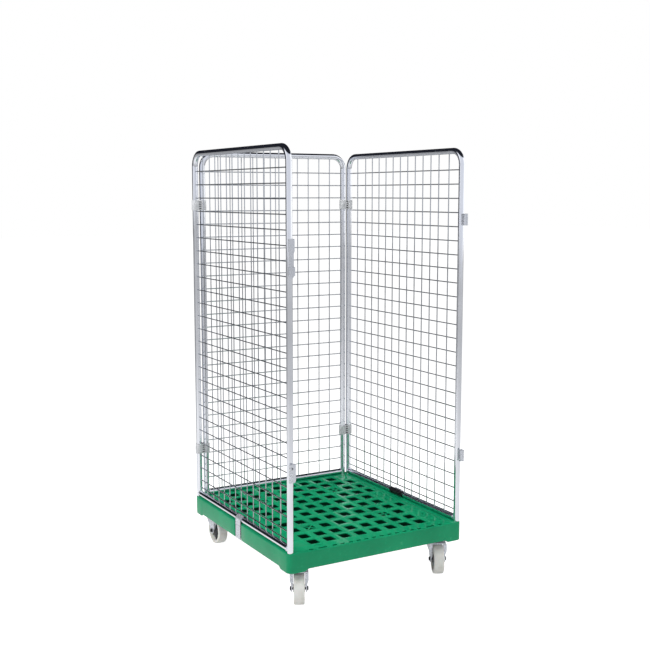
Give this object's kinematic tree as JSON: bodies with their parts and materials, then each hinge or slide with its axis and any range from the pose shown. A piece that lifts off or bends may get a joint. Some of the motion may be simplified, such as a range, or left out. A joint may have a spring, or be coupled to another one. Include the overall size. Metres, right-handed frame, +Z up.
{
  "type": "roll cage container",
  "caption": "Tall wheeled cage with a moulded lattice base, wire mesh back and side panels in bent tube frames, an open front and swivel and fixed casters.",
  "frame": {"origin": "on the floor, under the middle of the whole object's box, which lies 9 mm in front of the middle of the base because the front fittings stand forward of it", "axes": "+Z up; X across the open front, with the drop bolt on the -X side and the door sleeves on the +X side; +Y from the open front to the back panel"},
  "size_m": [0.72, 0.8249, 1.5456],
  "materials": {
    "green_plastic": "injection moulded green polyethylene, satin gloss with light scuffs",
    "plated_tube": "bright zinc plated round steel tube",
    "plated_wire": "bright zinc plated welded wire",
    "zinc_steel": "zinc plated sheet steel, slightly dull",
    "black_steel": "blackened bolts and saddles",
    "clip_plastic": "light grey moulded clip, fine texture",
    "wheel_nylon": "off-white polyamide wheel"
  },
  "bodies": {
    "base": {"base_deck": "green_plastic", "base_skirt": "green_plastic", "base_front_left_block": "green_plastic", "base_front_right_block": "green_plastic", "base_rear_left_block": "green_plastic", "base_rear_right_block": "green_plastic", "caster_front_left_plate": "zinc_steel", "caster_front_left_kingpin": "zinc_steel", "caster_front_right_plate": "zinc_steel", "caster_front_right_kingpin": "zinc_steel", "caster_rear_left_plate": "zinc_steel", "caster_rear_left_fork": "zinc_steel", "caster_rear_left_axle": "black_steel", "caster_rear_right_plate": "zinc_steel", "caster_rear_right_fork": "zinc_steel", "caster_rear_right_axle": "black_steel"},
    "left_panel": {"left_frame_tube": "plated_tube", "left_bottom_rail": "plated_tube", "left_wire_mesh": "plated_wire", "left_lock_tab": "zinc_steel", "left_rail_saddle": "black_steel", "left_upper_clip_side_half": "clip_plastic", "left_lower_clip_side_half": "clip_plastic", "left_latch_guide": "zinc_steel", "left_bolt_keeper": "zinc_steel"},
    "right_panel": {"right_frame_tube": "plated_tube", "right_bottom_rail": "plated_tube", "right_wire_mesh": "plated_wire", "right_lock_tab": "zinc_steel", "right_rail_saddle": "black_steel", "right_upper_clip_side_half": "clip_plastic", "right_lower_clip_side_half": "clip_plastic", "right_upper_door_sleeve": "zinc_steel", "right_lower_door_sleeve": "zinc_steel"},
    "back_panel": {"back_frame_tube": "plated_tube", "back_bottom_rail": "plated_tube", "back_wire_mesh": "plated_wire", "left_upper_clip_back_half": "clip_plastic", "right_upper_clip_back_half": "clip_plastic", "left_lower_clip_back_half": "clip_plastic", "right_lower_clip_back_half": "clip_plastic"},
    "drop_bolt": {"left_drop_bolt": "zinc_steel"},
    "front_left_swivel": {"caster_front_left_fork": "zinc_steel", "caster_front_left_axle": "black_steel"},
    "front_left_wheel": {"caster_front_left_wheel": "wheel_nylon"},
    "front_right_swivel": {"caster_front_right_fork": "zinc_steel", "caster_front_right_axle": "black_steel"},
    "front_right_wheel": {"caster_front_right_wheel": "wheel_nylon"},
    "rear_left_wheel": {"caster_rear_left_wheel": "wheel_nylon"},
    "rear_right_wheel": {"caster_rear_right_wheel": "wheel_nylon"}
  },
  "joints": [
    {"name": "left_panel_lift", "type": "slide", "parent": "base", "child": "left_panel", "axis": [0, 0, 1], "range_m": [0, 0.06]},
    {"name": "right_panel_lift", "type": "slide", "parent": "base", "child": "right_panel", "axis": [0, 0, 1], "range_m": [0, 0.06]},
    {"name": "back_panel_lift", "type": "slide", "parent": "base", "child": "back_panel", "axis": [0, 0, 1], "range_m": [0, 0.06]},
    {"name": "drop_bolt_slide", "type": "slide", "parent": "left_panel", "child": "drop_bolt", "axis": [0, 0, 1], "range_m": [-0.042, 0]},
    {"name": "front_left_swivel_turn", "type": "hinge", "parent": "base", "child": "front_left_swivel", "pos_m": [-0.289, -0.33, 0.116], "axis": [0, 0, 1], "continuous": true},
    {"name": "front_right_swivel_turn", "type": "hinge", "parent": "base", "child": "front_right_swivel", "pos_m": [0.289, -0.33, 0.116], "axis": [0, 0, 1], "continuous": true},
    {"name": "front_left_wheel_spin", "type": "hinge", "parent": "front_left_swivel", "child": "front_left_wheel", "pos_m": [-0.30543, -0.3609, 0.0545], "axis": [0.8829, -0.4695, 0], "continuous": true},
    {"name": "front_right_wheel_spin", "type": "hinge", "parent": "front_right_swivel", "child": "front_right_wheel", "pos_m": [0.27257, -0.3609, 0.0545], "axis": [0.8829, -0.4695, 0], "continuous": true},
    {"name": "rear_left_wheel_spin", "type": "hinge", "parent": "base", "child": "rear_left_wheel", "pos_m": [-0.289, 0.348, 0.0545], "axis": [1, 0, 0], "continuous": true},
    {"name": "rear_right_wheel_spin", "type": "hinge", "parent": "base", "child": "rear_right_wheel", "pos_m": [0.289, 0.348, 0.0545], "axis": [1, 0, 0], "continuous": true}
  ]
}
